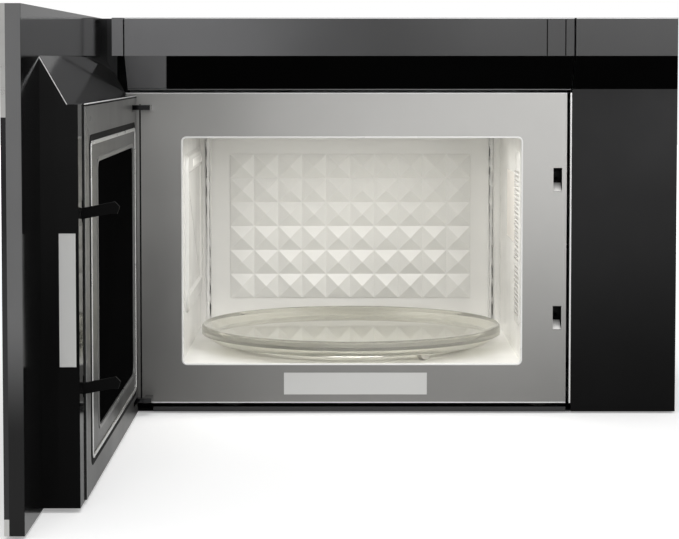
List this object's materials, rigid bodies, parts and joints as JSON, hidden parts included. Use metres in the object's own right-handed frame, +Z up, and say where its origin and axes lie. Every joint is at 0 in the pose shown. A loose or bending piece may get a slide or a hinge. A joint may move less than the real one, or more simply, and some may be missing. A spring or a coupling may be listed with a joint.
{
  "type": "over the range microwave",
  "caption": "Wall hung microwave oven with a full width side hinged door standing open, glass turntable, embossed back wall, and extractor hood with filters and blower.",
  "frame": {"origin": "middle of the rear face, which lies against the wall", "axes": "+X to the right seen from the front, +Y into the wall, +Z up; the front faces -Y"},
  "size_m": [0.613, 0.964, 0.412],
  "materials": {
    "case_paint": "satin black powder coat",
    "zinc_steel": "bright zinc plated sheet",
    "plate_paint": "satin silver grey enamel",
    "cavity_enamel": "smooth warm white enamel",
    "gloss_black": "high gloss black",
    "trim_silver": "satin",
    "stainless": "brushed along its length",
    "black_glass": "back painted tempered glass",
    "clear_glass": "tempered, slightly green",
    "smoked_glass": "smoked",
    "frame_plastic": "fine grain",
    "choke_paint": "satin grey enamel",
    "screen_steel": "black perforated sheet",
    "black_plastic": "satin",
    "white_plastic": "satin",
    "bright_steel": "polished",
    "label_film": "plain silver label",
    "mica": "pressed mica sheet",
    "circuit_board": "solder mask",
    "filter_mesh": "layered mesh",
    "charcoal": "carbon granules in felt",
    "lamp_glass": "frosted",
    "aluminium_fins": "mill finish",
    "core_steel": "varnished laminations"
  },
  "bodies": {
    "cabinet": {"outer_wrapper": "case_paint", "rear_panel": "zinc_steel", "base_plate": "case_paint", "cavity_shell": "cavity_enamel", "embossed_back_wall": "cavity_enamel", "front_plate": "plate_paint", "rating_label": "label_film", "waveguide_cover": "mica", "top_fascia": "gloss_black", "fascia_left_cap": "gloss_black", "fascia_right_cap": "gloss_black", "right_panel": "gloss_black", "panel_trim": "trim_silver", "turntable_motor": "zinc_steel", "hinge_arms": "bright_steel", "microswitches": "black_plastic", "interlock_bracket": "zinc_steel", "waveguide": "zinc_steel", "magnetron": "aluminium_fins", "transformer": "core_steel", "capacitor": "aluminium_fins", "noise_filter": "circuit_board", "fan_shroud": "black_plastic", "fan_motor": "core_steel", "blower_housing": "zinc_steel", "blower_motor": "core_steel", "exhaust_adapter": "zinc_steel", "cooktop_lamps": "lamp_glass", "lamp_lenses": "lamp_glass", "charcoal_filter": "charcoal", "cavity_lamp": "lamp_glass", "case_screws": "zinc_steel", "cord_gland": "black_plastic"},
    "door": {"door_top_strip": "stainless", "door_glass": "black_glass", "door_bottom_strip": "stainless", "door_frame": "frame_plastic", "door_liner": "gloss_black", "choke_plate": "choke_paint", "inner_window": "smoked_glass", "door_screen": "screen_steel", "latch_spring": "bright_steel", "control_board": "circuit_board", "door_label": "label_film", "hinge_pins": "bright_steel", "hinge_leaves": "zinc_steel"},
    "latch": {"latch_carrier": "black_plastic"},
    "turntable": {"drive_coupler": "white_plastic"},
    "tray": {"glass_tray": "clear_glass"},
    "ring": {"roller_ring": "white_plastic"},
    "wheel_front": {"roller_front": "white_plastic"},
    "wheel_right": {"roller_right": "white_plastic"},
    "wheel_left": {"roller_left": "white_plastic"},
    "fan": {"fan_wheel": "black_plastic"},
    "blower": {"blower_wheels": "black_plastic"},
    "damper": {"damper_flap": "zinc_steel"},
    "filter_left": {"grease_filter_left": "filter_mesh"},
    "filter_right": {"grease_filter_right": "filter_mesh"},
    "lower_plunger": {"plunger_lower": "white_plastic"},
    "upper_plunger": {"plunger_upper": "white_plastic"}
  },
  "joints": [
    {"name": "door_hinge", "type": "hinge", "parent": "cabinet", "child": "door", "pos_m": [-0.276, -0.385, 0], "axis": [0, 0, 1], "range_deg": [0, 90]},
    {"name": "latch_slide", "type": "slide", "parent": "door", "child": "latch", "axis": [0, 0, 1], "range_m": [0, 0.004], "stiffness_N_per_m": 300, "deforming": ["latch_spring"]},
    {"name": "turntable_spin", "type": "hinge", "parent": "cabinet", "child": "turntable", "pos_m": [-0.0354, -0.1935, -0.159], "axis": [0, 0, 1], "continuous": true},
    {"name": "tray_lift", "type": "slide", "parent": "turntable", "child": "tray", "axis": [0, 0, 1], "range_m": [0, 0.06]},
    {"name": "ring_spin", "type": "hinge", "parent": "cabinet", "child": "ring", "pos_m": [-0.0354, -0.1935, -0.15295], "axis": [0, 0, 1], "continuous": true},
    {"name": "roller_front_spin", "type": "hinge", "parent": "ring", "child": "wheel_front", "pos_m": [0.04177, -0.30791, -0.15295], "axis": [0.5592, -0.829, 0], "continuous": true},
    {"name": "roller_right_spin", "type": "hinge", "parent": "ring", "child": "wheel_right", "pos_m": [0.0251, -0.06947, -0.15295], "axis": [0.4384, 0.8988, 0], "continuous": true},
    {"name": "roller_left_spin", "type": "hinge", "parent": "ring", "child": "wheel_left", "pos_m": [-0.17306, -0.20313, -0.15295], "axis": [-0.9976, -0.0698, 0], "continuous": true},
    {"name": "fan_spin", "type": "hinge", "parent": "cabinet", "child": "fan", "pos_m": [0.2171, -0.1, 0], "axis": [0, 1, 0], "continuous": true},
    {"name": "blower_spin", "type": "hinge", "parent": "cabinet", "child": "blower", "pos_m": [0, -0.061, 0.1395], "axis": [1, 0, 0], "continuous": true},
    {"name": "damper_hinge", "type": "hinge", "parent": "cabinet", "child": "damper", "pos_m": [0, -0.024, 0.194], "axis": [-1, 0, 0], "range_deg": [0, 80]},
    {"name": "filter_left_drop", "type": "slide", "parent": "cabinet", "child": "filter_left", "axis": [0, 0, -1], "range_m": [0, 0.04]},
    {"name": "filter_right_drop", "type": "slide", "parent": "cabinet", "child": "filter_right", "axis": [0, 0, -1], "range_m": [0, 0.04]},
    {"name": "plunger_lower_press", "type": "slide", "parent": "cabinet", "child": "lower_plunger", "axis": [0, 1, 0], "range_m": [0, 0.002], "stiffness_N_per_m": 200},
    {"name": "plunger_upper_press", "type": "slide", "parent": "cabinet", "child": "upper_plunger", "axis": [0, 1, 0], "range_m": [0, 0.002], "stiffness_N_per_m": 200}
  ],
  "couplings": [
    {"joint": "ring_spin", "follows": "turntable_spin", "ratio": 0.5},
    {"joint": "roller_front_spin", "follows": "turntable_spin", "ratio": -11.695},
    {"joint": "roller_right_spin", "follows": "turntable_spin", "ratio": -11.695},
    {"joint": "roller_left_spin", "follows": "turntable_spin", "ratio": -11.695}
  ]
}
